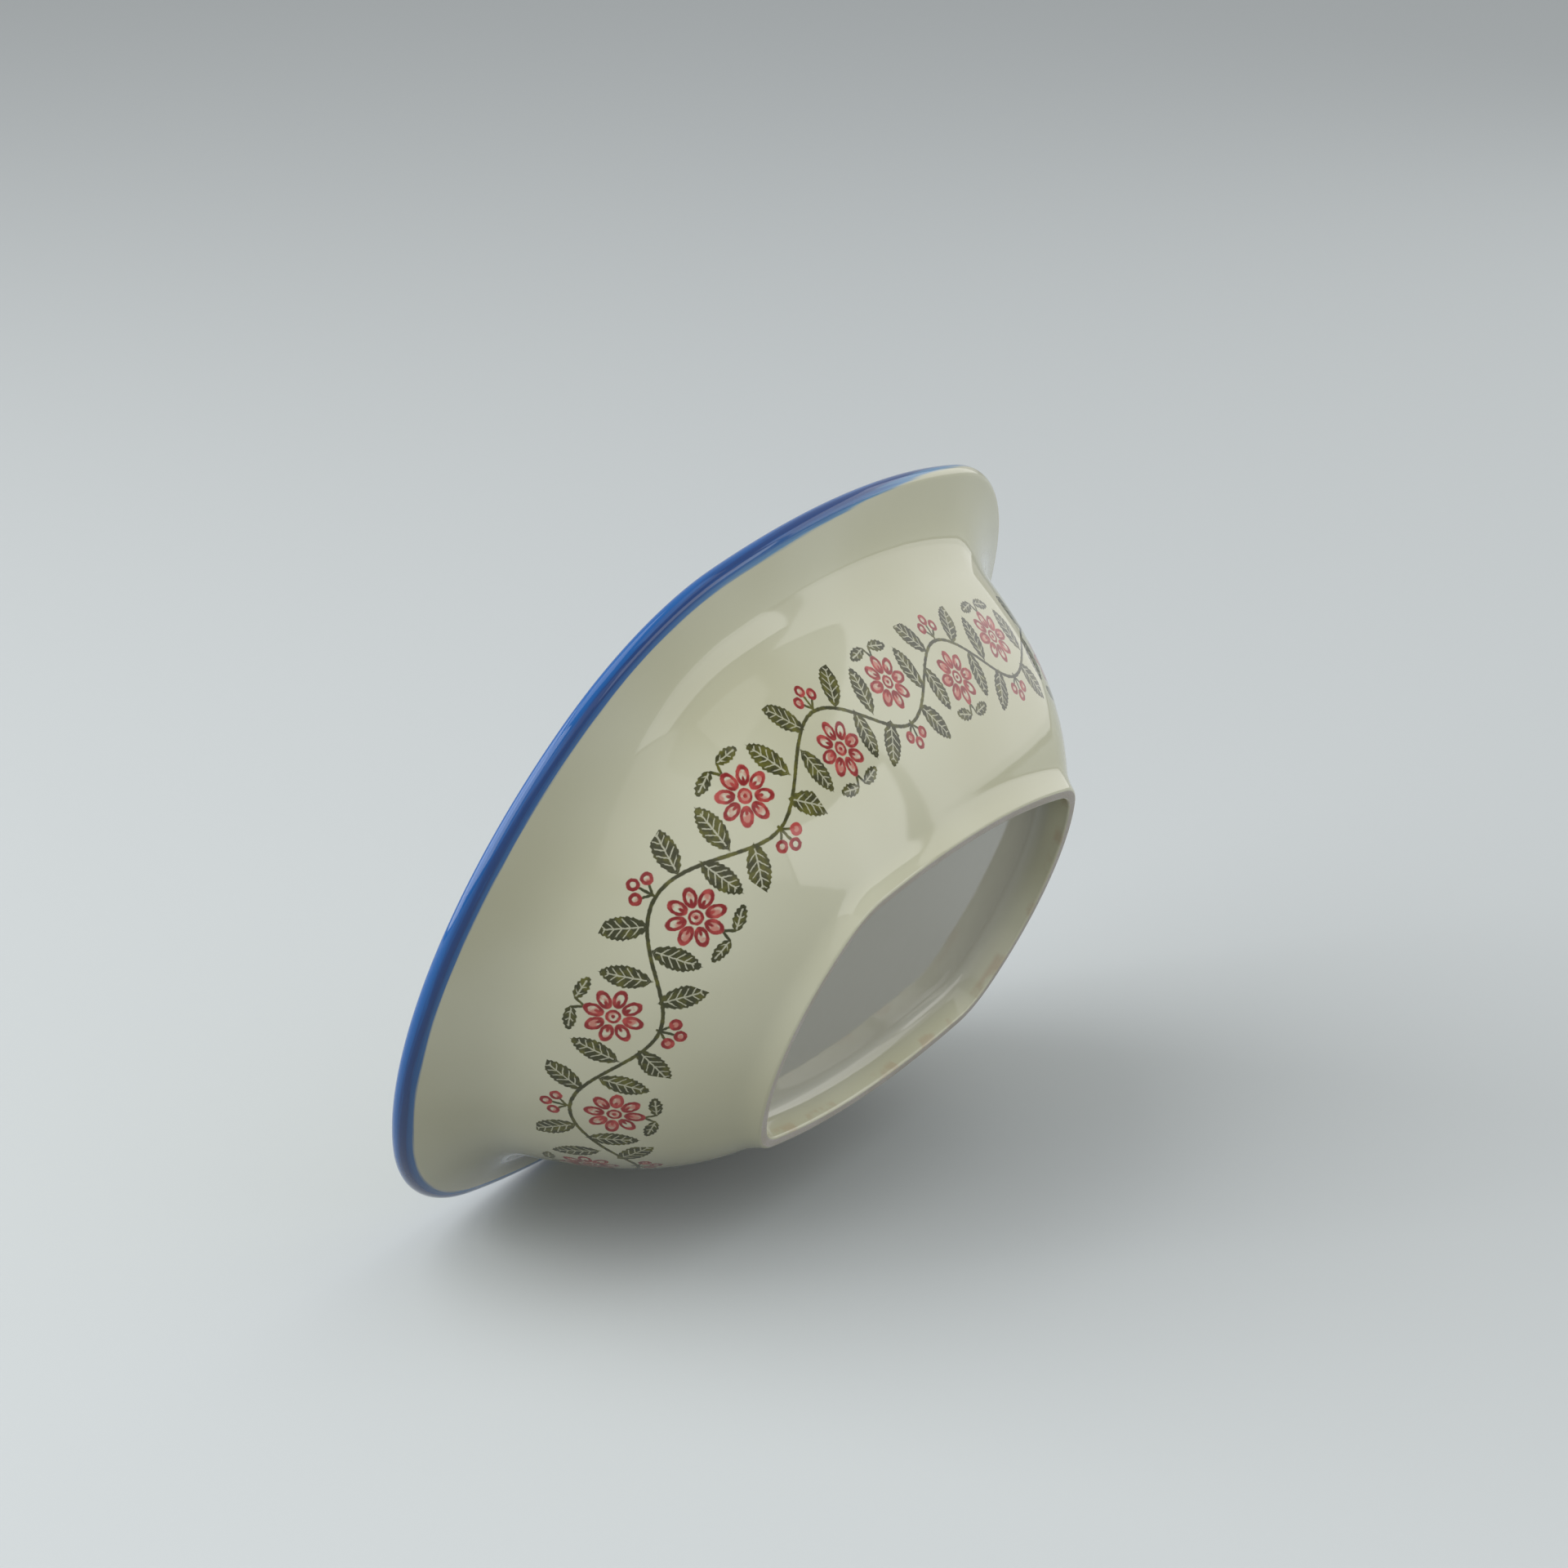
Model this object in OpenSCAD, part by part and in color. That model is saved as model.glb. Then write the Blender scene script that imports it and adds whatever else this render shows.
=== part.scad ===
// Oval pie dish of glazed earthenware, cast in one piece.
// It stands on its foot ring, upright on the XY plane, with its long way along X.

/* [Rim outline] */
// Length over the rim
rim_length = 300; // [280:1:320]
// Width over the rim
rim_width = 235; // [226:1:244]
// Radius of the rim round its two ends
end_radius = 130; // [122:1:138]
// Radius of the rim round its four corners
corner_radius = 89; // [86:1:96]
// Radius of the rim along its two sides
side_radius = 355; // [330:1:380]

/* [Section] */
// Height from the foot to the top of the rim
dish_height = 81; // [76:1:88]
// Thickness of the wall and the rim
wall = 5.6; // [4.6:0.1:6.4]
// Height at which the wall turns out into the rim
neck_height = 58.5; // [54:0.5:62]
// How far the neck lies in from the rim's edge
neck_inset = 26.4; // [24:0.1:30]
// Slope of the wall at the neck, from level
neck_angle = 68.5; // [62:0.5:74]
// Slope of the wall where it leaves the foot, from level
root_angle = 37; // [33:0.5:42]
// Upward tilt of the rim, from level
rim_tilt = 15; // [10:0.5:22]

/* [Foot] */
// How far the foot's outer edge lies in from the rim's edge
foot_inset = 67; // [64:0.1:68.5]
// Height of the foot ring, up to the wall
foot_height = 5; // [4:0.1:6]
// How far the foot ring leans out as it rises to the wall
foot_lean = 2.8; // [1.5:0.1:4]
// Width of the bare face that the dish stands on
foot_face = 2; // [1.6:0.1:3]
// Rounding of the foot face's two edges
foot_edge = 0.8; // [0.5:0.1:1]
// Rounding between the foot ring and the wall
foot_blend = 4; // [1.5:0.1:4.4]
// Depth of the underside inside the foot ring
recess_depth = 9.5; // [8:0.1:10.5]
// How far the inside of the foot ring leans in
recess_lean = 1.6; // [0.8:0.1:2.4]
// Rounding where the foot ring meets the underside
recess_fillet = 4; // [3:0.1:5]
// Thickness of the floor
floor_thickness = 5.6; // [5:0.1:6.6]

/* [Hidden] */

// Points on each kind of curve in the section, and on each arc of the outline
curve_steps = 7;
lip_steps = 3;
fillet_steps = 3;
arc_steps = 12;

// Reach of each curve's end tangents, as a share of the straight line between its ends
wall_root_pull = 0.28;
wall_neck_pull = 0.47;
rim_neck_pull = 0.36;
rim_lip_pull = 0.40;
// Share of the wall's curve that the rounding of the inside floor takes
floor_share = 0.33;

// The rim is a ring of eight arcs that run smoothly into each other.
// Each corner arc touches an end arc and a side arc from within, which places its centre.
end_centre = [rim_length / 2 - end_radius, 0];
side_centre = [0, rim_width / 2 - side_radius];
to_end = end_radius - corner_radius;
to_side = side_radius - corner_radius;
apart = norm(side_centre - end_centre);
toward = (side_centre - end_centre) / apart;
along = (to_end ^ 2 - to_side ^ 2 + apart ^ 2) / (2 * apart);
aside = sqrt(to_end ^ 2 - along ^ 2);
corner_centre = end_centre + along * toward + aside * [-toward.y, toward.x];
end_angle = atan2(corner_centre.y - end_centre.y, corner_centre.x - end_centre.x);
side_angle = atan2(corner_centre.y - side_centre.y, corner_centre.x - side_centre.x);
flipped_corner = [-corner_centre.x, corner_centre.y];

// Centre, radius at the rim, first angle and last angle of each arc, round the dish from +X
arcs = [
    [end_centre, end_radius, -end_angle, end_angle],
    [corner_centre, corner_radius, end_angle, side_angle],
    [side_centre, side_radius, side_angle, 180 - side_angle],
    [flipped_corner, corner_radius, 180 - side_angle, 180 - end_angle],
    [-end_centre, end_radius, 180 - end_angle, 180 + end_angle],
    [-corner_centre, corner_radius, 180 + end_angle, 180 + side_angle],
    [-side_centre, side_radius, 180 + side_angle, 360 - side_angle],
    [-flipped_corner, corner_radius, 360 - side_angle, 360 - end_angle],
];

// A point of the section is [inset from the rim's edge, height].
// The inset grows towards the middle, so a wall that rises and flares out has a falling inset.
function heading(angle) = [-cos(angle), sin(angle)];
function inward(way) = [way.y, -way.x];
function spread(first, last, steps) = [for (i = [1 : steps]) first + (last - first) * i / steps];
function on(c, t) =
    c[0] * (1 - t) ^ 3 + 3 * c[1] * t * (1 - t) ^ 2 + 3 * c[2] * t ^ 2 * (1 - t) + c[3] * t ^ 3;
function way(c, t) =
    let (w = (c[1] - c[0]) * (1 - t) ^ 2 + 2 * (c[2] - c[1]) * t * (1 - t) + (c[3] - c[2]) * t ^ 2)
    w / norm(w);
function inside(c, t) = on(c, t) + wall * inward(way(c, t));
function rounding(a, corner, b) =
    [for (t = spread(0, 1, fillet_steps)) a * (1 - t) ^ 2 + 2 * corner * t * (1 - t) + b * t ^ 2];
function toward_point(a, b, reach) = a + reach * (b - a) / norm(b - a);

// Outer curve of the wall, from the foot to the neck
root = [foot_inset - foot_lean, foot_height];
neck = [neck_inset, neck_height];
wall_span = norm(neck - root);
wall_curve = [
    root,
    root + wall_root_pull * wall_span * heading(root_angle),
    neck - wall_neck_pull * wall_span * heading(neck_angle),
    neck,
];

// Underside of the rim, from the neck to the round lip
lip_radius = wall / 2;
lip_centre = [lip_radius, dish_height - lip_radius];
lip_start = lip_centre - lip_radius * inward(heading(rim_tilt));
rim_span = norm(lip_start - neck);
rim_curve = [
    neck,
    neck + rim_neck_pull * rim_span * heading(neck_angle),
    lip_start - rim_lip_pull * rim_span * heading(rim_tilt),
    lip_start,
];
lip_angles = concat(
    spread(270 - rim_tilt, 180, lip_steps),
    spread(180, 90, lip_steps),
    spread(90, 90 - rim_tilt, 1)
);

// Inside floor, and the rounding between it and the wall
floor_height = recess_depth + floor_thickness;
floor_top = inside(wall_curve, floor_share);
floor_way = way(wall_curve, floor_share);
floor_reach = (floor_top.y - floor_height) / floor_way.y;
floor_corner = floor_top - floor_reach * floor_way;
floor_start = floor_corner + [floor_reach, 0];

// Corners of the foot ring
foot_outer = [foot_inset, 0];
foot_inner = [foot_inset + foot_face + 2 * foot_edge, 0];
recess_corner = [foot_inner.x + recess_lean, recess_depth];
root_blend_share = foot_blend / wall_span;

foot_outside = concat(
    rounding(foot_outer + [foot_edge, 0], foot_outer, toward_point(foot_outer, root, foot_edge)),
    [toward_point(root, foot_outer, foot_blend)],
    rounding(toward_point(root, foot_outer, foot_blend), root, on(wall_curve, root_blend_share))
);
foot_inside = concat(
    [recess_corner + [recess_fillet, 0]],
    rounding(
        recess_corner + [recess_fillet, 0],
        recess_corner,
        toward_point(recess_corner, foot_inner, recess_fillet)
    ),
    [toward_point(foot_inner, recess_corner, foot_edge)],
    rounding(toward_point(foot_inner, recess_corner, foot_edge), foot_inner, foot_inner - [foot_edge, 0]),
    [foot_outer + [foot_edge, 0]]
);

// The whole section, from the underside out over the foot, wall and lip and back to the floor
section = concat(
    foot_inside,
    foot_outside,
    [for (t = spread(root_blend_share, 1, curve_steps)) on(wall_curve, t)],
    [for (t = spread(0, 1, curve_steps)) on(rim_curve, t)],
    [for (a = lip_angles) lip_centre + lip_radius * [cos(a), sin(a)]],
    [for (t = spread(1, 0, curve_steps)) inside(rim_curve, t)],
    [for (t = spread(1, floor_share, curve_steps)) inside(wall_curve, t)],
    rounding(floor_top, floor_corner, floor_start)
);

// One turn of the outline at a point of the section
function turn(p) = [
    for (arc = arcs, angle = spread(arc[2], arc[3], arc_steps))
        concat(arc[0] + (arc[1] - p.x) * [cos(angle), sin(angle)], p.y)
];

// Closed skin lofted through the turns, with flat caps over the first and the last
module loft(turns) {
    count = len(turns[0]);
    last = len(turns) - 1;
    polyhedron(
        points = [for (ring = turns, point = ring) point],
        faces = concat(
            [[for (i = [0 : count - 1]) i]],
            [
                for (k = [0 : last - 1], i = [0 : count - 1])
                    let (j = (i + 1) % count)
                    [k * count + j, k * count + i, (k + 1) * count + i, (k + 1) * count + j]
            ],
            [[for (i = [count - 1 : -1 : 0]) last * count + i]]
        )
    );
}

module dish() {
    color("beige") loft([for (p = section) turn(p)]);
}

dish();
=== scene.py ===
"""Oval glazed pie dish, seen from below its foot as in the photograph."""

import math
import random

import bpy
import numpy as np
from mathutils import Matrix, Vector


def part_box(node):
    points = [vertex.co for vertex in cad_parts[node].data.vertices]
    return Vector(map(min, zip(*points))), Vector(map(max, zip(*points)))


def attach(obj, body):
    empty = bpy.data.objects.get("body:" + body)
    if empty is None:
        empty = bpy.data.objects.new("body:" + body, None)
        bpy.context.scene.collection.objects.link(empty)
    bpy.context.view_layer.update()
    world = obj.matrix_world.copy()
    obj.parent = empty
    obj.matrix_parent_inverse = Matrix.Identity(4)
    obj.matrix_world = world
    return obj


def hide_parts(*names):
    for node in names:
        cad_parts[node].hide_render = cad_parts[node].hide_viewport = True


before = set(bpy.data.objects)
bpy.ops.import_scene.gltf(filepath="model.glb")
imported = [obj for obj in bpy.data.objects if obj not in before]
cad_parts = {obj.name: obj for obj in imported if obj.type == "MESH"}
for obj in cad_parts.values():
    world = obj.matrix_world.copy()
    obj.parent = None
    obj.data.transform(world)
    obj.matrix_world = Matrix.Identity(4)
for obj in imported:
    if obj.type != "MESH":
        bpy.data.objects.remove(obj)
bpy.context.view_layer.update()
low_corner, high_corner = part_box("dish")
MM = 0.001

# Sizes in millimetres and angles in degrees: overall sizes from the frame, the rest as in the part's source
RIM_LENGTH, RIM_WIDTH, DISH_HEIGHT = (high_corner - low_corner) / MM
END_RADIUS, CORNER_RADIUS, SIDE_RADIUS = 130.0, 89.0, 355.0
WALL, FLOOR_THICKNESS = 5.6, 5.6
NECK_HEIGHT, NECK_INSET = 58.5, 26.4
NECK_ANGLE, ROOT_ANGLE, RIM_TILT = 68.5, 37.0, 15.0
FOOT_INSET, FOOT_HEIGHT, FOOT_LEAN = 67.0, 5.0, 2.8
FOOT_FACE, FOOT_EDGE, FOOT_BLEND = 2.0, 0.8, 4.0
RECESS_DEPTH, RECESS_LEAN, RECESS_FILLET = 9.5, 1.6, 4.0
# Reach of each curve's end tangents, as a share of the straight line between its ends
WALL_ROOT_PULL, WALL_NECK_PULL = 0.28, 0.47
RIM_NECK_PULL, RIM_LIP_PULL = 0.36, 0.40
# Share of the wall's curve that the rounding of the inside floor takes
FLOOR_SHARE = 0.33

# Rings of the mesh along each curve, and points round it on an end, a corner and a side
CURVE_STEPS, LIP_STEPS, FILLET_STEPS, CAP_STEPS = 42, 16, 6, 4
END_STEPS, CORNER_STEPS, SIDE_STEPS = 64, 48, 56
# How far the rings run in over the flat underside and floor, in millimetres
CAP_REACH = 10.0

# Camera of the photograph, and the floor under the propped dish, in metres in the dish's own frame
CAMERA_PLACE = Vector((-1.08673, -0.62448, -0.33894))
CAMERA_RIGHT = Vector((0.48879, -0.35178, -0.79833))
CAMERA_UP = Vector((0.25845, -0.81563, 0.51764))
LENS, SENSOR = 101.335, 36.0
CLIP_NEAR, CLIP_FAR = 0.05, 50.0
FLOOR_NORMAL = Vector((0.0, -0.9135, 0.4067)).normalized()
FLOOR_LEVEL, FLOOR_REACH = -0.0758, 6.0

# Painted band: cells round the dish, and where it lies on the wall, in millimetres
CELLS, CELL_LENGTH = 18, 33.2
BAND_INSET, BAND_MIDDLE, BAND_HALF = 39.4, 26.0, 19.0
BAND_FADE, OUTSIDE_BAND = (18.6, 19.0), 99.0

# Hand printing: seed, lean in degrees, shift in millimetres, least ink, and ragged edges
PRINT_SEED, PRINT_LEAN, PRINT_SHIFT, LEAST_INK = 7, 3, 0.4, 0.55
EDGE_WOBBLE, VINE_WOBBLE = 0.55, 0.5
PRINT_SOFTNESS = -0.14, 0.16

# Daisy and berries of a cell in millimetres, with x along the band and y across it toward the berries
DAISY_Y, PETALS = -4.2, 8
PETAL_PLACE, PETAL_STRETCH, PETAL_RADIUS = 5.8, 1.5, 2.0
PETAL_LINE_INSET, PETAL_LINE_HALF = 0.44, 0.46
STREAK_PLACE, STREAK_STRETCH, STREAK_RADIUS = 4.3, 2.4, 0.5
RING_RADIUS, RING_HALF, HEART_RADIUS, WASHED_RADIUS = 1.8, 0.42, 0.6, 1.6
SIDE_BERRY, TOP_BERRY, BERRY_RADIUS = (3.3, 12.9), (0.0, 15.4), 1.85
BERRY_LINE_INSET, BERRY_LINE_HALF = 0.5, 0.52

# Vine, and stems and leaves that are mirrored about the cell's middle
VINE_SWING, VINE_HALF = 9.0, 0.55
# Middle, turn in degrees, half length and half width of each leaf
LEAVES = (
    ((12.2, 12.0), 57.0, 7.6, 3.5),
    ((12.9, -5.2), -99.0, 7.8, 3.4),
    ((5.2, -15.2), 12.0, 4.4, 2.0),
)
# Two ends and half width of each stem
STEMS = (
    ((0.0, 8.6), (0.0, 13.8), 0.42),
    ((0.0, 9.4), (2.8, 12.2), 0.4),
    ((0.0, -12.6), (1.6, -15.8), 0.42),
)
TOOTH_SLANT, TOOTH_HALF_PITCH, TOOTH_DEPTH, TOOTH_OUTSET = 0.5, 0.8, 0.5, 0.1
VEIN_HALF, VEIN_SHIFT, VEIN_REACH = 0.2, 0.3, 0.72
SIDE_VEIN_SLANT, SIDE_VEIN_HALF_PITCH, SIDE_VEIN_MARGIN = 0.85, 1.15, 0.75

# Blue lip: reach under the rim and inside it in millimetres, and stretches of X in metres where it changes
UNDER_LEAST, UNDER_GAIN, UNDER_STRETCH = -0.4, 6.0, (-0.06, 0.115)
INSIDE_REACH, LIP_SOFTNESS = 7.2, 0.5
STREAK_SWAY, BROAD_SWAY = 1.5, 1.1
CORE_LEAST, CORE_GAIN, CORE_STRETCH = 0.7, 1.7, (-0.12, -0.02)
CORE_STREAK, CORE_FADE = 4.0, (0.4, 2.1)
WASH_STREAK, WASH_FADE = 1.6, (0.3, 2.4)
WASH_LOSS, WASH_STRETCH = 0.75, (-0.11, -0.03)

# Scale of each noise, in features a metre, and of the brush marks along and across the rim
WOBBLE_X, WOBBLE_Y, SPONGE, BODY, STAINS = 900.0, 760.0, 330.0, 12.0, 90.0
BRUSH_ALONG, BRUSH_ACROSS, BRUSH_BROAD = 40.0, 1.3, 26.0
SPECKS, RIPPLE, CLAY_GRAIN, CLAY_STAINS = 42.0, 55.0, 1400.0, 60.0
ROUGH_DETAIL, PLAIN_DETAIL, SMOOTH_DETAIL = 3.0, 2.0, 1.0

# Levels of a noise at which its colour is full and gone, and a speck's reach and which cells have one
BODY_LEVELS, STAIN_LEVELS = (0.68, 0.32), (0.62, 0.5)
INK_LEVELS, PINK_LEVELS = (0.86, 0.52), (0.62, 0.4)
GRAIN_LEVELS, CLAY_STAIN_LEVELS = (0.62, 0.38), (0.7, 0.4)
SPECK_REACH, SPECK_PICK = (0.011, 0.017), (0.86, 0.84)

# Strength of each faint colour, sway of a motif's ink, least red, and reach of the ring's stains
STAIN_SHARE, PINK_SHARE, LIP_WASH_SHARE, SPECK_SHARE = 0.6, 0.72, 0.8, 0.7
VEIN_PALENESS, CLAY_STAIN_SHARE = 0.8, 0.5
INK_SWAY, LEAST_RED = 0.32, 0.2
STAIN_REACH = 1.6, 3.4

# Finish of the glaze, the bare clay and the floor
GLAZE_ROUGHNESS, GLAZE_IOR, GLAZE_COAT, COAT_ROUGHNESS = 0.06, 1.5, 0.15, 0.03
RIPPLE_STRENGTH, RIPPLE_HEIGHT = 0.16, 0.0006
CLAY_ROUGHNESS, GRAIN_STRENGTH, GRAIN_HEIGHT = 0.75, 0.4, 0.0001
FLOOR_ROUGHNESS, FLOOR_SPECULAR = 0.9, 0.1

# World, and soft lamps: name; metres away, azimuth and elevation in the photo; width and height; watts
WORLD_COLOUR, WORLD_LEVEL = (0.98, 0.99, 1.0, 1.0), 0.55
LAMPS = (
    ("left_box", (2.2, -92, 20), (2.0, 1.6), 25.0),
    ("near_left_box", (2.2, -50, 25), (1.6, 1.6), 18.0),
    ("near_sheet", (2.2, 14, 6), (3.0, 2.2), 9.0),
    ("top_left_box", (2.2, -90, 62), (1.8, 1.4), 12.0),
    ("top_right_box", (2.2, 80, 62), (1.8, 1.4), 4.0),
    ("right_panel", (2.0, 79, 4), (2.2, 1.2), 11.5),
    ("back_panel", (2.0, 131, 16), (1.5, 1.25), 5.0),
)


# Colours
def srgb(red, green, blue):
    """A colour from its 0 to 255 values on screen."""
    def linear(v):
        v /= 255
        return v / 12.92 if v <= 0.04045 else ((v + 0.055) / 1.055) ** 2.4
    return (linear(red), linear(green), linear(blue), 1.0)


# The last cream here is painted shade: a darker, greyer cream laid on the shaded recess floor under the
# dish
CREAM, CREAM_DEEP, CREAM_PAINTED_SHADE = srgb(203, 203, 178), srgb(192, 191, 162), srgb(172, 171, 158)
RED, RED_PALE = srgb(132, 2, 2), srgb(188, 72, 64)
OLIVE, OLIVE_PALE = srgb(50, 51, 0), srgb(94, 93, 12)
NAVY, BLUE, BLUE_PALE = srgb(0, 56, 118), srgb(0, 82, 150), srgb(90, 144, 184)
STAIN, SPECK = srgb(186, 168, 140), srgb(92, 84, 70)
CLAY, CLAY_DEEP, CLAY_STAIN = srgb(186, 180, 178), srgb(176, 172, 158), srgb(164, 158, 142)
FLOOR_COLOUR, FLOOR_BOUNCE = srgb(194, 199, 200), srgb(124, 126, 126)


# Section of the dish, as points of [inset from the rim's edge, height]
def heading(angle):
    """Direction out and up, at an angle from level."""
    return np.array([-math.cos(math.radians(angle)), math.sin(math.radians(angle))])


def inward(direction):
    """Direction square to another, toward the inside of the wall."""
    return np.array([direction[1], -direction[0]])


def on(c, t):
    """Point of a cubic curve at t, from 0 to 1."""
    return (c[0] * (1 - t) ** 3 + 3 * c[1] * t * (1 - t) ** 2
            + 3 * c[2] * t ** 2 * (1 - t) + c[3] * t ** 3)


def way(c, t):
    """Direction of the curve there."""
    w = (c[1] - c[0]) * (1 - t) ** 2 + 2 * (c[2] - c[1]) * t * (1 - t) + (c[3] - c[2]) * t ** 2
    return w / np.linalg.norm(w)


def inside(c, t):
    """Point one wall thickness inside the curve there."""
    return on(c, t) + WALL * inward(way(c, t))


def spread(first, last, steps):
    """Even steps from first to last, without first itself."""
    return [first + (last - first) * i / steps for i in range(1, steps + 1)]


def rounding(a, corner, b):
    """Points that round a corner off on the way from a to b."""
    return [a * (1 - t) ** 2 + 2 * corner * t * (1 - t) + b * t ** 2
            for t in spread(0, 1, FILLET_STEPS)]


def toward_point(a, b, reach):
    return a + reach * (b - a) / np.linalg.norm(b - a)


def round_lip(centre, radius):
    """Points of the lip, from the underside of the rim round its edge to the inside."""
    angles = [math.radians(a) for a in spread(270 - RIM_TILT, 90 - RIM_TILT, LIP_STEPS)]
    return [centre + radius * np.array([math.cos(a), math.sin(a)]) for a in angles]


def make_section():
    """Returns the section's points, the row of the neck, and the rows of the foot's bare face."""
    root = np.array([FOOT_INSET - FOOT_LEAN, FOOT_HEIGHT])
    neck = np.array([NECK_INSET, NECK_HEIGHT])
    wall_span = np.linalg.norm(neck - root)
    wall_curve = [root, root + WALL_ROOT_PULL * wall_span * heading(ROOT_ANGLE),
                  neck - WALL_NECK_PULL * wall_span * heading(NECK_ANGLE), neck]
    lip_radius = WALL / 2
    lip_centre = np.array([lip_radius, DISH_HEIGHT - lip_radius])
    lip_start = lip_centre - lip_radius * inward(heading(RIM_TILT))
    rim_span = np.linalg.norm(lip_start - neck)
    rim_curve = [neck, neck + RIM_NECK_PULL * rim_span * heading(NECK_ANGLE),
                 lip_start - RIM_LIP_PULL * rim_span * heading(RIM_TILT), lip_start]

    floor_height = RECESS_DEPTH + FLOOR_THICKNESS
    floor_top = inside(wall_curve, FLOOR_SHARE)
    floor_way = way(wall_curve, FLOOR_SHARE)
    floor_reach = (floor_top[1] - floor_height) / floor_way[1]
    floor_corner = floor_top - floor_reach * floor_way
    floor_start = floor_corner + np.array([floor_reach, 0])

    foot_outer = np.array([FOOT_INSET, 0.0])
    foot_inner = np.array([FOOT_INSET + FOOT_FACE + 2 * FOOT_EDGE, 0.0])
    recess_corner = np.array([foot_inner[0] + RECESS_LEAN, RECESS_DEPTH])
    recess_start = recess_corner + np.array([RECESS_FILLET, 0])
    recess_end = toward_point(recess_corner, foot_inner, RECESS_FILLET)
    blend_share = FOOT_BLEND / wall_span
    edge = np.array([FOOT_EDGE, 0])
    inner_top = toward_point(foot_inner, recess_corner, FOOT_EDGE)
    outer_top = toward_point(foot_outer, root, FOOT_EDGE)
    blend_start = toward_point(root, foot_outer, FOOT_BLEND)

    points = [recess_start + np.array([CAP_REACH * k / CAP_STEPS, 0]) for k in range(CAP_STEPS, -1, -1)]
    points += rounding(recess_start, recess_corner, recess_end)
    points += [inner_top] + rounding(inner_top, foot_inner, foot_inner - edge)
    # The bare face takes in one step of the rounding on either side of the flat
    bare_first = len(points) - 2
    points += [foot_outer + edge]
    bare_last = len(points)
    points += rounding(foot_outer + edge, foot_outer, outer_top)
    points += [blend_start] + rounding(blend_start, root, on(wall_curve, blend_share))
    points += [on(wall_curve, t) for t in spread(blend_share, 1, CURVE_STEPS)]
    neck_row = len(points) - 1
    points += [on(rim_curve, t) for t in spread(0, 1, CURVE_STEPS)]
    points += round_lip(lip_centre, lip_radius)
    points += [inside(rim_curve, t) for t in spread(1, 0, CURVE_STEPS)]
    points += [inside(wall_curve, t) for t in spread(1, FLOOR_SHARE, CURVE_STEPS)]
    points += rounding(floor_top, floor_corner, floor_start)
    cap = CAP_REACH - (floor_start[0] - recess_start[0])
    points += [floor_start + np.array([cap * k / CAP_STEPS, 0]) for k in range(1, CAP_STEPS + 1)]
    return np.array(points), neck_row, (bare_first, bare_last)


# Outline of the rim: eight arcs that run smoothly into each other
def make_arcs():
    """Returns the centre, radius, first and last angle and number of points of each arc."""
    end = np.array([RIM_LENGTH / 2 - END_RADIUS, 0.0])
    side = np.array([0.0, RIM_WIDTH / 2 - SIDE_RADIUS])
    to_end, to_side = END_RADIUS - CORNER_RADIUS, SIDE_RADIUS - CORNER_RADIUS
    apart = np.linalg.norm(side - end)
    toward = (side - end) / apart
    along = (to_end ** 2 - to_side ** 2 + apart ** 2) / (2 * apart)
    aside = math.sqrt(to_end ** 2 - along ** 2)
    corner = end + along * toward + aside * np.array([-toward[1], toward[0]])
    end_angle = math.degrees(math.atan2(corner[1] - end[1], corner[0] - end[0]))
    side_angle = math.degrees(math.atan2(corner[1] - side[1], corner[0] - side[0]))
    flipped = np.array([-corner[0], corner[1]])
    return (
        (end, END_RADIUS, -end_angle, end_angle, END_STEPS),
        (corner, CORNER_RADIUS, end_angle, side_angle, CORNER_STEPS),
        (side, SIDE_RADIUS, side_angle, 180 - side_angle, SIDE_STEPS),
        (flipped, CORNER_RADIUS, 180 - side_angle, 180 - end_angle, CORNER_STEPS),
        (-end, END_RADIUS, 180 - end_angle, 180 + end_angle, END_STEPS),
        (-corner, CORNER_RADIUS, 180 + end_angle, 180 + side_angle, CORNER_STEPS),
        (-side, SIDE_RADIUS, 180 + side_angle, 360 - side_angle, SIDE_STEPS),
        (-flipped, CORNER_RADIUS, 360 - side_angle, 360 - end_angle, CORNER_STEPS),
    )


def make_outline():
    """Returns centres, radii and directions of the outline's points, and the way to each in cells."""
    centres, radii, ways, path = [], [], [], []
    run = 0.0
    for centre, radius, first, last, steps in make_arcs():
        band_length = (radius - BAND_INSET) * math.radians(last - first)
        for i in range(steps):
            angle = math.radians(first + (last - first) * i / steps)
            centres.append(centre)
            radii.append(radius)
            ways.append([math.cos(angle), math.sin(angle)])
            path.append(run + band_length * i / steps)
        run += band_length
    return np.array(centres), np.array(radii), np.array(ways), np.append(path, run) * CELLS / run


# The dish: a fine skin over the part's own section and outline
def place_points(section, centres, radii, ways):
    """Returns one ring of points round the outline for each point of the section."""
    points = np.zeros((len(section), len(radii), 3))
    for k, (inset, height) in enumerate(section):
        points[k, :, :2] = centres + (radii - inset)[:, None] * ways
        points[k, :, 2] = height
    return points


def make_skin(points):
    """Returns a closed mesh through the rings, and the ring and column of each four-sided face."""
    rows, count = points.shape[:2]
    faces, quads = [], []
    for k in range(rows - 1):
        for i in range(count):
            j = (i + 1) % count
            faces.append((k * count + j, k * count + i, (k + 1) * count + i, (k + 1) * count + j))
            quads.append((k, i))
    faces.append(tuple(range(count)))
    faces.append(tuple((rows - 1) * count + i for i in range(count - 1, -1, -1)))
    mesh = bpy.data.meshes.new("dish_skin")
    mesh.from_pydata((points.reshape(-1, 3) * MM).tolist(), [], faces)
    return mesh, quads


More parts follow.
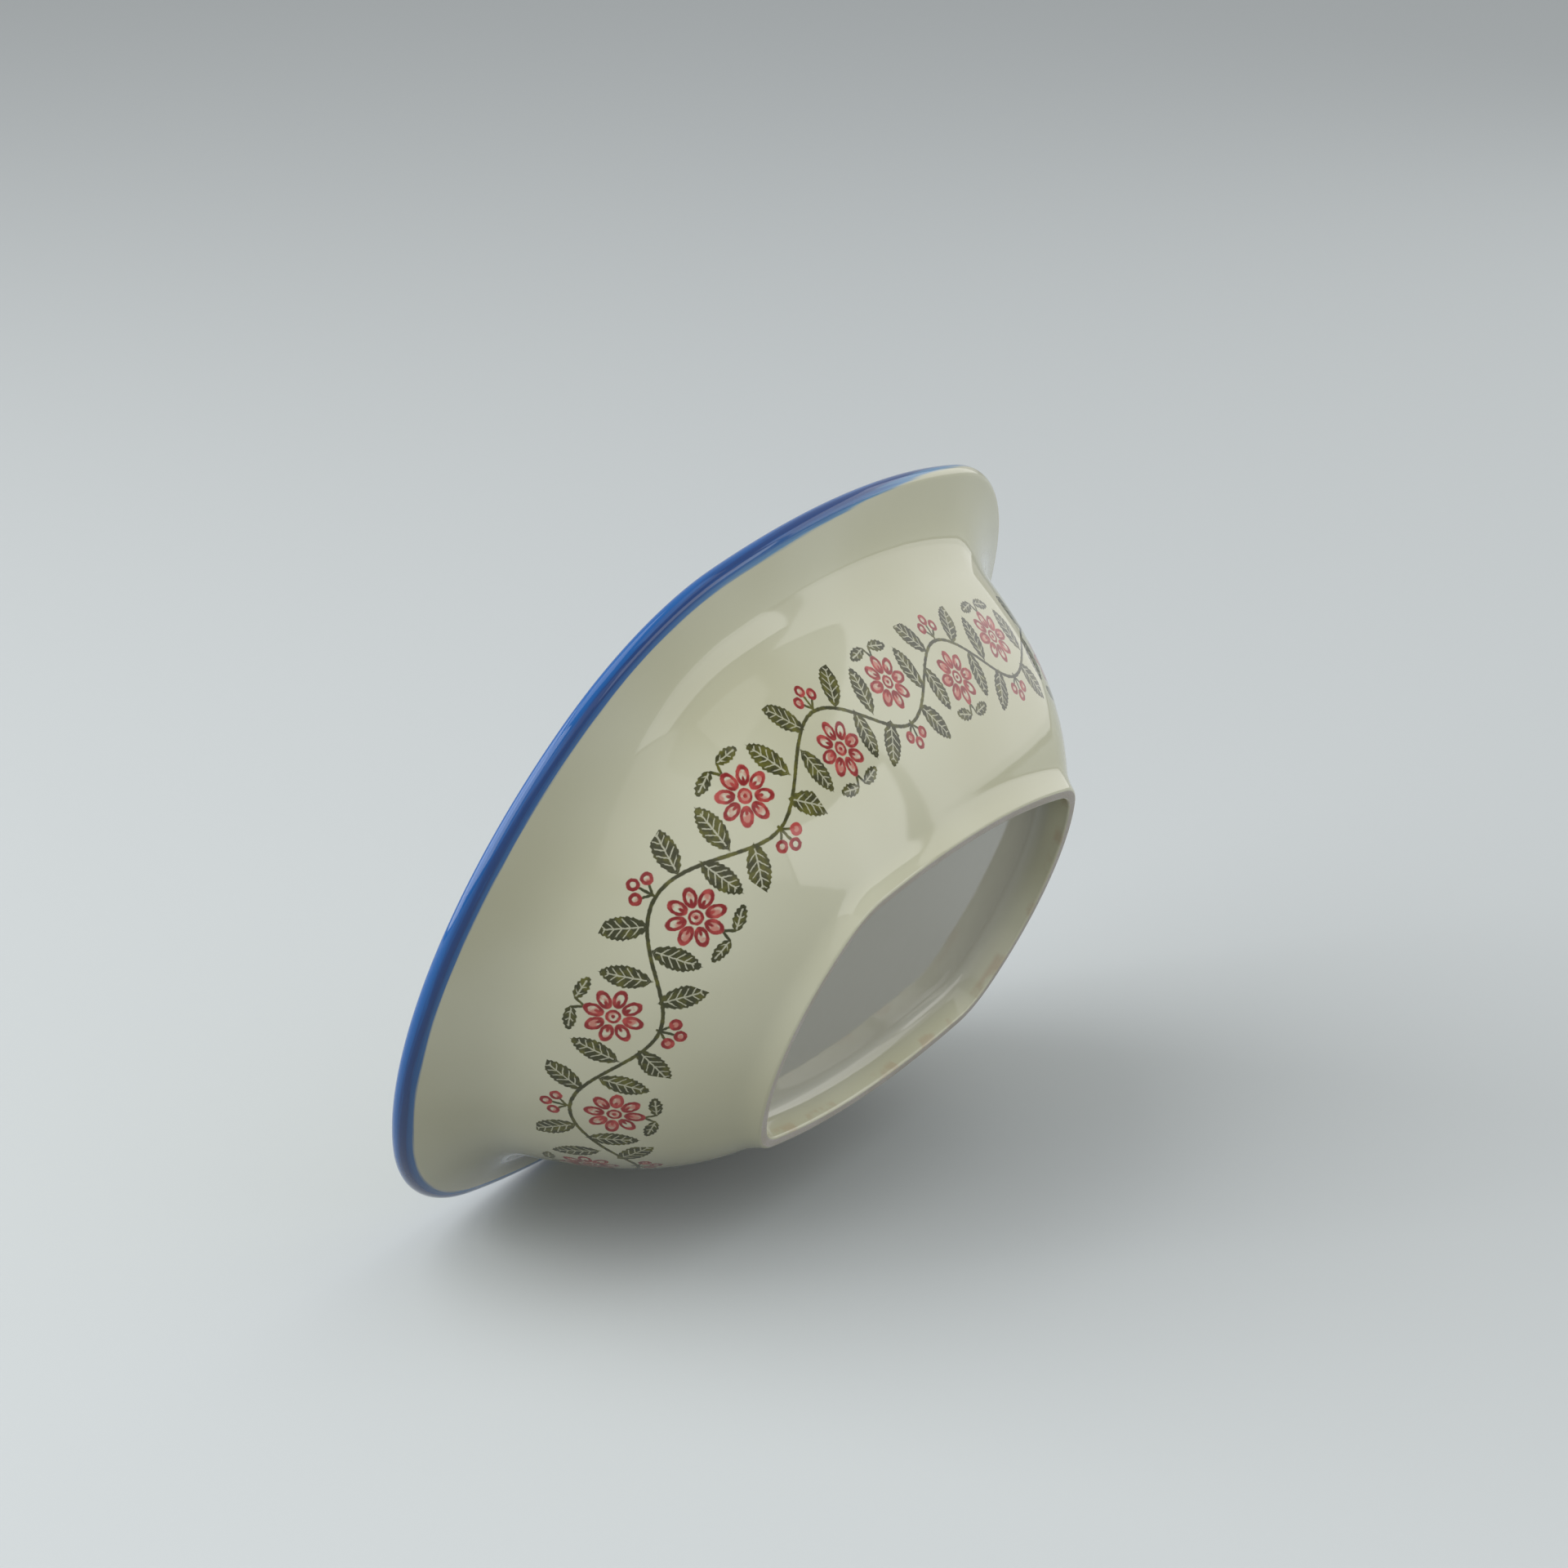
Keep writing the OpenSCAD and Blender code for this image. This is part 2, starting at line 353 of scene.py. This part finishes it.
def make_stamps(points, below_neck, cells):
    """One printed motif a cell, every other one upside down: its place on the wall, and its ink."""
    rng = random.Random(PRINT_SEED)
    row = int(np.argmin(np.abs(below_neck - BAND_MIDDLE)))
    stamps = []
    for cell in range(CELLS):
        i = int(np.argmin(np.abs(cells[:-1] - cell - 0.5)))
        along = points[row, (i + 1) % points.shape[1]] - points[row, i - 1]
        up = points[row + 1, i] - points[row - 1, i]
        flip = 1 if cell % 2 else -1
        axes = np.array([along / np.linalg.norm(along), up * flip / np.linalg.norm(up)])
        lean = math.radians(rng.uniform(-PRINT_LEAN, PRINT_LEAN))
        turn = np.array([[math.cos(lean), -math.sin(lean)], [math.sin(lean), math.cos(lean)]])
        shift = rng.uniform(-PRINT_SHIFT, PRINT_SHIFT), rng.uniform(-PRINT_SHIFT, PRINT_SHIFT)
        stamps.append({"middle": points[row, i], "axes": turn @ axes, "shift": turn @ shift,
                       "ink": rng.uniform(LEAST_INK, 1.0)})
    return stamps


def place_on(stamp, point):
    """Where a point of the wall lies on a motif, in millimetres along the band and across it."""
    return stamp["axes"] @ (point - stamp["middle"]) - stamp["shift"]


def lay_print(mesh, quads, points, cells, from_edge, below_neck, neck_row):
    """Gives each face corner its way round, distance from the edge, place on a motif and ink."""
    stamps = make_stamps(points, below_neck, cells)
    count = points.shape[1]
    for name in ("around", "motif"):
        mesh.uv_layers.new(name=name)
    mesh.attributes.new("ink", "FLOAT", "CORNER")
    around_data = np.zeros((len(mesh.loops), 2))
    motif_data = np.full((len(mesh.loops), 2), OUTSIDE_BAND)
    ink_data = np.ones(len(mesh.loops))
    for n, (k, i) in enumerate(quads):
        j = (i + 1) % count
        corners = ((k, j, i + 1), (k, i, i), (k + 1, i, i), (k + 1, j, i + 1))
        middle = (below_neck[k] + below_neck[k + 1]) / 2
        in_band = k < neck_row and abs(middle - BAND_MIDDLE) < BAND_HALF
        stamp = stamps[int((cells[i] + cells[i + 1]) / 2) % CELLS]
        for c, (row, column, step) in enumerate(corners):
            around_data[4 * n + c] = cells[step], from_edge[row]
            if in_band:
                motif_data[4 * n + c] = place_on(stamp, points[row, column])
                ink_data[4 * n + c] = stamp["ink"]
    caps = len(quads) * 4
    around_data[caps:caps + count, 1] = from_edge[0]
    around_data[caps + count:, 1] = from_edge[-1]
    mesh.uv_layers["around"].data.foreach_set("uv", around_data.ravel())
    mesh.uv_layers["motif"].data.foreach_set("uv", motif_data.ravel())
    mesh.attributes["ink"].data.foreach_set("value", ink_data)


def make_dish():
    """Returns the dish, and where the band, the underside and the ring's inner face lie from its edge."""
    section, neck_row, (bare_first, bare_last) = make_section()
    centres, radii, ways, cells = make_outline()
    points = place_points(section, centres, radii, ways)
    run = np.concatenate([[0], np.cumsum(np.linalg.norm(np.diff(section, axis=0), axis=1))])
    edge_row = int(np.argmin(section[:, 0]))
    from_edge = run - run[edge_row]
    mesh, quads = make_skin(points)
    lay_print(mesh, quads, points, cells, from_edge, run[neck_row] - run, neck_row)

    mesh.polygons.foreach_set("use_smooth", [True] * len(mesh.polygons))
    bare = [bare_first <= k < bare_last for k, _ in quads] + [False, False]
    mesh.polygons.foreach_set("material_index", [int(b) for b in bare])
    mesh.update()
    dish = bpy.data.objects.new("dish_body", mesh)
    bpy.context.scene.collection.objects.link(dish)
    edge_to_band = run[edge_row] - run[neck_row] + BAND_MIDDLE
    underside = from_edge[CAP_STEPS], from_edge[CAP_STEPS + FILLET_STEPS + 1]
    ring_face = (underside[1] + from_edge[bare_first]) / 2
    return dish, edge_to_band, underside, ring_face


# Shader fields: numbers that vary over the surface, with Python's own arithmetic
class Field:
    tree = None

    def __init__(self, socket):
        self.socket = socket

    @staticmethod
    def math(operation, *values):
        node = Field.tree.nodes.new("ShaderNodeMath")
        node.operation = operation
        for slot, value in zip(node.inputs, values):
            if isinstance(value, Field):
                Field.tree.links.new(value.socket, slot)
            else:
                slot.default_value = value
        return Field(node.outputs[0])

    def __add__(self, other):
        return Field.math("ADD", self, other)

    def __sub__(self, other):
        return Field.math("SUBTRACT", self, other)

    def __rsub__(self, other):
        return Field.math("SUBTRACT", other, self)

    def __mul__(self, other):
        return Field.math("MULTIPLY", self, other)

    def __truediv__(self, other):
        return Field.math("DIVIDE", self, other)

    def __abs__(self):
        return Field.math("ABSOLUTE", self)

    __radd__, __rmul__ = __add__, __mul__

    def at_least(self, other):
        return Field.math("MAXIMUM", self, other)

    def at_most(self, other):
        return Field.math("MINIMUM", self, other)


def length(x, y):
    return Field.math("SQRT", x * x + y * y)


def repeat(value, half_pitch):
    """Value wrapped round, to run from minus half a pitch to half a pitch again and again."""
    return Field.math("WRAP", value, half_pitch, -half_pitch)


def nearest(first, *others):
    """Least of some fields, such as the distance from the nearest shape."""
    for other in others:
        first = first.at_most(other)
    return first


def fade(value, start, end):
    """1 where value is at start or beyond it, and 0 at end."""
    node = Field.tree.nodes.new("ShaderNodeMapRange")
    node.interpolation_type = "SMOOTHSTEP"
    Field.tree.links.new(value.socket, node.inputs["Value"])
    node.inputs["From Min"].default_value = min(start, end)
    node.inputs["From Max"].default_value = max(start, end)
    node.inputs["To Min"].default_value = 1.0 if start < end else 0.0
    node.inputs["To Max"].default_value = 0.0 if start < end else 1.0
    return Field(node.outputs["Result"])


def mix(share, first, second):
    """Colour first where share is 0 and second where it is 1; each is a colour or a socket."""
    node = Field.tree.nodes.new("ShaderNodeMix")
    node.data_type = "RGBA"
    Field.tree.links.new(share.socket, node.inputs["Factor"])
    for name, colour in (("A", first), ("B", second)):
        slot = next(s for s in node.inputs if s.name == name and s.type == "RGBA")
        if isinstance(colour, tuple):
            slot.default_value = colour
        else:
            Field.tree.links.new(colour, slot)
    return next(s for s in node.outputs if s.type == "RGBA")


def noise(vector, scale, detail=PLAIN_DETAIL):
    node = Field.tree.nodes.new("ShaderNodeTexNoise")
    Field.tree.links.new(vector, node.inputs["Vector"])
    node.inputs["Scale"].default_value = scale
    node.inputs["Detail"].default_value = detail
    return Field(node.outputs["Fac"])


def parts_of(vector):
    """The three numbers of a vector, as fields."""
    node = Field.tree.nodes.new("ShaderNodeSeparateXYZ")
    Field.tree.links.new(vector, node.inputs[0])
    return [Field(output) for output in node.outputs]


def read_uv(name):
    node = Field.tree.nodes.new("ShaderNodeUVMap")
    node.uv_map = name
    return parts_of(node.outputs[0])[:2]


def read_place():
    return Field.tree.nodes.new("ShaderNodeTexCoord").outputs["Object"]


def new_material(name):
    """Returns a material and its surface shader; the fields made next go into it."""
    material = bpy.data.materials.new(name)
    material.use_nodes = True
    Field.tree = material.node_tree
    return material, material.node_tree.nodes["Principled BSDF"]


def add_bump(surface, height, strength, distance):
    bump = Field.tree.nodes.new("ShaderNodeBump")
    bump.inputs["Strength"].default_value = strength
    bump.inputs["Distance"].default_value = distance
    Field.tree.links.new(height.socket, bump.inputs["Height"])
    Field.tree.links.new(bump.outputs[0], surface.inputs["Normal"])


# Printed band: each shape is a distance from its edge in millimetres, negative inside
def spot(distance):
    """1 inside a shape, with the soft edge of a sponge print."""
    return fade(distance, *PRINT_SOFTNESS)


def leaf(x, y, centre, angle, half_length, half_width):
    """A saw-edged leaf, and its pale veins."""
    turn = math.radians(angle)
    dx, dy = x - centre[0], y - centre[1]
    along = dx * math.cos(turn) + dy * math.sin(turn)
    across = abs(dy * math.cos(turn) - dx * math.sin(turn))
    radius = (half_length ** 2 + half_width ** 2) / (2 * half_width)
    tooth = abs(repeat(along - across * TOOTH_SLANT, TOOTH_HALF_PITCH))
    outline = length(along, across + (radius - half_width)) - radius + tooth * TOOTH_DEPTH - TOOTH_OUTSET
    middle_vein = (across - VEIN_HALF).at_least(abs(along + VEIN_SHIFT) - half_length * VEIN_REACH)
    side_vein = abs(repeat(along - across * SIDE_VEIN_SLANT, SIDE_VEIN_HALF_PITCH)) - VEIN_HALF
    side_vein = side_vein.at_least(outline + SIDE_VEIN_MARGIN)
    return outline, middle_vein.at_most(side_vein)


def line(x, y, a, b, half_width):
    """A straight stem between two points."""
    dx, dy = b[0] - a[0], b[1] - a[1]
    span = dx * dx + dy * dy
    share = ((x - a[0]) * (dx / span) + (y - a[1]) * (dy / span)).at_least(0.0).at_most(1.0)
    return length(x - a[0] - share * dx, y - a[1] - share * dy) - half_width


def red_print(x, y):
    """Daisy in the vine's hollow and berries above its crest: the deep lines, and the washed area."""
    from_daisy = y - DAISY_Y
    radius = length(x, from_daisy)
    folded = repeat(Field.math("ARCTAN2", from_daisy, x), math.pi / PETALS)
    along = radius * Field.math("COSINE", folded)
    across = radius * Field.math("SINE", folded)
    petal = length((along - PETAL_PLACE) / PETAL_STRETCH, across) - PETAL_RADIUS
    petal_line = abs(petal + PETAL_LINE_INSET) - PETAL_LINE_HALF
    petal_streak = length((along - STREAK_PLACE) / STREAK_STRETCH, across) - STREAK_RADIUS
    centre_line = (abs(radius - RING_RADIUS) - RING_HALF).at_most(radius - HEART_RADIUS)
    side_berry = length(abs(x) - SIDE_BERRY[0], y - SIDE_BERRY[1])
    top_berry = length(x - TOP_BERRY[0], y - TOP_BERRY[1])
    berry = side_berry.at_most(top_berry) - BERRY_RADIUS
    berry_line = abs(berry + BERRY_LINE_INSET) - BERRY_LINE_HALF
    deep = nearest(petal_line, petal_streak, centre_line, berry_line)
    return deep, nearest(petal, berry, radius - WASHED_RADIUS)


def vine_print(cell, rise, wobble):
    """The vine, which runs on from cell to cell."""
    phase = (cell - 0.5) * math.pi
    slope = Field.math("SINE", phase) * (VINE_SWING * math.pi / CELL_LENGTH)
    off_vine = rise + Field.math("COSINE", phase) * VINE_SWING + wobble * VINE_WOBBLE
    return abs(off_vine) / Field.math("SQRT", slope * slope + 1.0) - VINE_HALF


def green_print(x, y, vine):
    """Share of green ink on the vine, its stems and its leaves with their pale veins."""
    mirrored = abs(x)
    stems = nearest(vine, *[line(mirrored, y, *stem) for stem in STEMS])
    outlines, veins = zip(*[leaf(mirrored, y, *each) for each in LEAVES])
    veined = spot(nearest(*outlines)) * (1.0 - spot(nearest(*veins)) * VEIN_PALENESS)
    return spot(stems).at_least(veined)


# Glaze of the dish
def cream_body(where, from_edge, underside, ring_face):
    """Cream that changes slowly, with painted shade that makes the recess floor under the dish duller, and
    faint stains inside the foot ring.
    """
    cream = mix(fade(noise(where, BODY), *BODY_LEVELS), CREAM, CREAM_DEEP)
    # Painted shade: the recess floor under the dish and its rounding are darkened toward a greyer cream
    cream = mix(fade(from_edge, *underside), cream, CREAM_PAINTED_SHADE)
    patches = fade(noise(where, STAINS, ROUGH_DETAIL), *STAIN_LEVELS)
    stain = patches * fade(abs(from_edge - ring_face), *STAIN_REACH)
    return mix(stain * STAIN_SHARE, cream, STAIN)


def blue_lip(where, from_edge):
    """Share and colour of the lip, brushed along the rim and ending sooner under it toward +X."""
    along, across, _ = parts_of(where)
    stretch = Field.tree.nodes.new("ShaderNodeCombineXYZ")
    brushed = along * BRUSH_ALONG, across * BRUSH_ALONG, from_edge * BRUSH_ACROSS
    for slot, field in zip(stretch.inputs, brushed):
        Field.tree.links.new(field.socket, slot)
    streak = noise(stretch.outputs[0], 1.0, ROUGH_DETAIL) - 0.5
    broad = noise(where, BRUSH_BROAD) - 0.5
    under_reach = fade(along, *UNDER_STRETCH) * UNDER_GAIN + UNDER_LEAST
    reach = (from_edge + under_reach).at_most(INSIDE_REACH - from_edge)
    reach = reach + streak * STREAK_SWAY + broad * BROAD_SWAY
    core_place = fade(along, *CORE_STRETCH) * CORE_GAIN + CORE_LEAST
    core = fade(abs(from_edge + core_place) + streak * CORE_STREAK, *CORE_FADE)
    edge_wash = fade(reach + streak * WASH_STREAK, *WASH_FADE)
    edge_wash = edge_wash * (1.0 - fade(along, *WASH_STRETCH) * WASH_LOSS)
    blue = mix(edge_wash * LIP_WASH_SHARE, mix(core, BLUE, NAVY), BLUE_PALE)
    return fade(reach, LIP_SOFTNESS, -LIP_SOFTNESS), blue


def pinholes(where):
    """1 on a few pinholes and specks in the glaze."""
    spots = Field.tree.nodes.new("ShaderNodeTexVoronoi")
    Field.tree.links.new(where, spots.inputs["Vector"])
    spots.inputs["Scale"].default_value = SPECKS
    pick = Field.tree.nodes.new("ShaderNodeSeparateColor")
    Field.tree.links.new(spots.outputs["Color"], pick.inputs[0])
    chosen = fade(Field(pick.outputs[0]), *SPECK_PICK)
    return fade(Field(spots.outputs["Distance"]), *SPECK_REACH) * chosen


def make_glaze(edge_to_band, underside, ring_face):
    """Cream, with the printed band, the blue lip and a few specks over it, and a faint ripple."""
    material, surface = new_material("glazed_earthenware")
    where = read_place()
    cell, from_edge = read_uv("around")
    x, y = read_uv("motif")
    ink_node = Field.tree.nodes.new("ShaderNodeAttribute")
    ink_node.attribute_name = "ink"
    ink = Field(ink_node.outputs["Fac"])

    wobble_x, wobble_y = noise(where, WOBBLE_X) - 0.5, noise(where, WOBBLE_Y) - 0.5
    x = x + wobble_x * EDGE_WOBBLE
    y = y + wobble_y * EDGE_WOBBLE
    rise = from_edge + edge_to_band
    in_band = fade(abs(rise), *BAND_FADE)
    deep, washed = red_print(x, y)
    green = green_print(x, y, vine_print(cell, rise, wobble_y))

    sponge = noise(where, SPONGE, ROUGH_DETAIL)
    wash = fade(sponge + ink * INK_SWAY, *INK_LEVELS)
    olive = mix(wash, OLIVE_PALE, OLIVE)
    red = mix(wash * (1.0 - LEAST_RED) + LEAST_RED, RED_PALE, RED)
    pink = mix(fade(sponge, *PINK_LEVELS), RED_PALE, CREAM)
    coat = cream_body(where, from_edge, underside, ring_face)
    coat = mix(green * in_band, coat, olive)
    coat = mix(spot(washed) * in_band * PINK_SHARE, coat, pink)
    coat = mix(spot(deep) * in_band, coat, red)
    lip, blue = blue_lip(where, from_edge)
    coat = mix(lip, coat, blue)
    coat = mix(pinholes(where) * SPECK_SHARE, coat, SPECK)
    Field.tree.links.new(coat, surface.inputs["Base Color"])

    surface.inputs["Roughness"].default_value = GLAZE_ROUGHNESS
    surface.inputs["IOR"].default_value = GLAZE_IOR
    surface.inputs["Coat Weight"].default_value = GLAZE_COAT
    surface.inputs["Coat Roughness"].default_value = COAT_ROUGHNESS
    add_bump(surface, noise(where, RIPPLE, SMOOTH_DETAIL), RIPPLE_STRENGTH, RIPPLE_HEIGHT)
    return material


# Bare face of the foot ring
def make_bare_clay():
    material, surface = new_material("bare_foot")
    where = read_place()
    grain = noise(where, CLAY_GRAIN, ROUGH_DETAIL)
    stain = fade(noise(where, CLAY_STAINS), *CLAY_STAIN_LEVELS)
    clay = mix(fade(grain, *GRAIN_LEVELS), CLAY, CLAY_DEEP)
    clay = mix(stain * CLAY_STAIN_SHARE, clay, CLAY_STAIN)
    Field.tree.links.new(clay, surface.inputs["Base Color"])
    surface.inputs["Roughness"].default_value = CLAY_ROUGHNESS
    add_bump(surface, grain, GRAIN_STRENGTH, GRAIN_HEIGHT)
    return material


# Stage, in the photograph's own directions: right, up and toward the camera
CAMERA_BACK = CAMERA_RIGHT.cross(CAMERA_UP).normalized()
PHOTO_RIGHT = (CAMERA_RIGHT - FLOOR_NORMAL * CAMERA_RIGHT.dot(FLOOR_NORMAL)).normalized()
PHOTO_NEAR = PHOTO_RIGHT.cross(FLOOR_NORMAL).normalized()
MIDDLE = Vector((0, 0, DISH_HEIGHT * MM / 2))


def in_photo(distance, azimuth, elevation):
    """Place at a distance from the dish; azimuth 0 is toward the camera and 90 to the photo's right."""
    turn, rise = math.radians(azimuth), math.radians(elevation)
    level = PHOTO_RIGHT * math.sin(turn) + PHOTO_NEAR * math.cos(turn)
    return MIDDLE + (level * math.cos(rise) + FLOOR_NORMAL * math.sin(rise)) * distance


def aim(place, target):
    """Matrix of a lamp at place that shines at target."""
    back = (place - target).normalized()
    right = FLOOR_NORMAL.cross(back).normalized()
    up = back.cross(right)
    return Matrix.Translation(place) @ Matrix((right, up, back)).transposed().to_4x4()


def add_lamp(name, place, size, power):
    light = bpy.data.lights.new(name, "AREA")
    light.shape = "RECTANGLE"
    light.size, light.size_y = size
    light.energy = power
    lamp = bpy.data.objects.new(name, light)
    lamp.matrix_world = aim(place, MIDDLE)
    bpy.context.scene.collection.objects.link(lamp)


def make_floor_material():
    """Pale where it is seen, duller in the light that it sends back, and clear from below."""
    material, surface = new_material("floor")
    nodes, links = material.node_tree.nodes, material.node_tree.links
    path = nodes.new("ShaderNodeLightPath")
    from_camera = Field(path.outputs["Is Camera Ray"])
    seen = from_camera.at_least(Field(path.outputs["Is Glossy Ray"]))
    seen = seen.at_least(Field(path.outputs["Is Transmission Ray"]))
    links.new(mix(seen, FLOOR_BOUNCE, FLOOR_COLOUR), surface.inputs["Base Color"])
    surface.inputs["Roughness"].default_value = FLOOR_ROUGHNESS
    surface.inputs["Specular IOR Level"].default_value = FLOOR_SPECULAR
    clear = nodes.new("ShaderNodeBsdfTransparent")
    below = Field(nodes.new("ShaderNodeNewGeometry").outputs["Backfacing"])
    choose = nodes.new("ShaderNodeMixShader")
    links.new((below * from_camera).socket, choose.inputs[0])
    links.new(surface.outputs[0], choose.inputs[1])
    links.new(clear.outputs[0], choose.inputs[2])
    links.new(choose.outputs[0], nodes["Material Output"].inputs["Surface"])
    return material


def add_floor():
    base = MIDDLE + FLOOR_NORMAL * (FLOOR_LEVEL - MIDDLE.dot(FLOOR_NORMAL))
    corners = [base + (PHOTO_RIGHT * a + PHOTO_NEAR * b) * FLOOR_REACH
               for a, b in ((-1, 1), (1, 1), (1, -1), (-1, -1))]
    mesh = bpy.data.meshes.new("floor")
    mesh.from_pydata(corners, [], [(0, 1, 2, 3)])
    mesh.materials.append(make_floor_material())
    floor = bpy.data.objects.new("floor", mesh)
    bpy.context.scene.collection.objects.link(floor)


def set_world():
    world = bpy.data.worlds.new("studio")
    world.use_nodes = True
    plain = world.node_tree.nodes["Background"]
    plain.inputs["Color"].default_value = WORLD_COLOUR
    plain.inputs["Strength"].default_value = WORLD_LEVEL
    bpy.context.scene.world = world


def add_camera():
    data = bpy.data.cameras.new("camera")
    data.lens, data.sensor_width = LENS, SENSOR
    data.clip_start, data.clip_end = CLIP_NEAR, CLIP_FAR
    camera = bpy.data.objects.new("camera", data)
    turn = Matrix((CAMERA_RIGHT, CAMERA_UP, CAMERA_BACK)).transposed().to_4x4()
    camera.matrix_world = Matrix.Translation(CAMERA_PLACE) @ turn
    bpy.context.scene.collection.objects.link(camera)
    bpy.context.scene.camera = camera


add_camera()
bpy.context.scene.view_settings.view_transform = "Standard"
set_world()
for name, place, size, power in LAMPS:
    add_lamp(name, in_photo(*place), size, power)
add_floor()

dish, edge_to_band, underside, ring_face = make_dish()
dish.data.materials.append(make_glaze(edge_to_band, underside, ring_face))
dish.data.materials.append(make_bare_clay())
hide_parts("dish")
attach(dish, "root")
